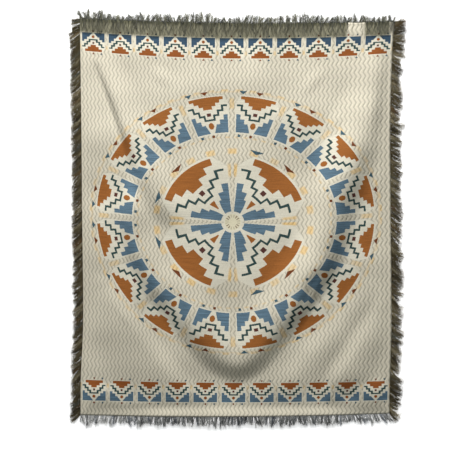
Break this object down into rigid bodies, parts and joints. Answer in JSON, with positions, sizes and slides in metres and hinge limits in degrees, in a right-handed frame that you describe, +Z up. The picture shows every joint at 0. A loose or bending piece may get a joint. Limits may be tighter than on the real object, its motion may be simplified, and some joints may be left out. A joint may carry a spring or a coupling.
{
  "type": "fringed woven picnic blanket",
  "caption": "Fringed cotton blanket with a woven ring design and banded borders, lying face up in soft ridges, for sitting on outdoors.",
  "frame": {"origin": "on the ground, under the middle of the whole blanket with its fringe", "axes": "+X to the right and +Y to the top of the design as seen from above, +Z up from the ground"},
  "size_m": [1.3218, 1.642, 0.0303],
  "materials": {
    "woven_cloth": "cream jacquard cotton with zigzag ribs, and a woven design in rust, blue and dark green",
    "warp_fringe": "loose charcoal and grey cotton yarn ends",
    "weft_fringe": "loose dark brown and olive cotton yarn ends"
  },
  "bodies": {
    "root": {"cloth": "woven_cloth", "fringe_top": "warp_fringe", "fringe_bottom": "warp_fringe", "fringe_left": "weft_fringe", "fringe_right": "weft_fringe"}
  },
  "joints": []
}
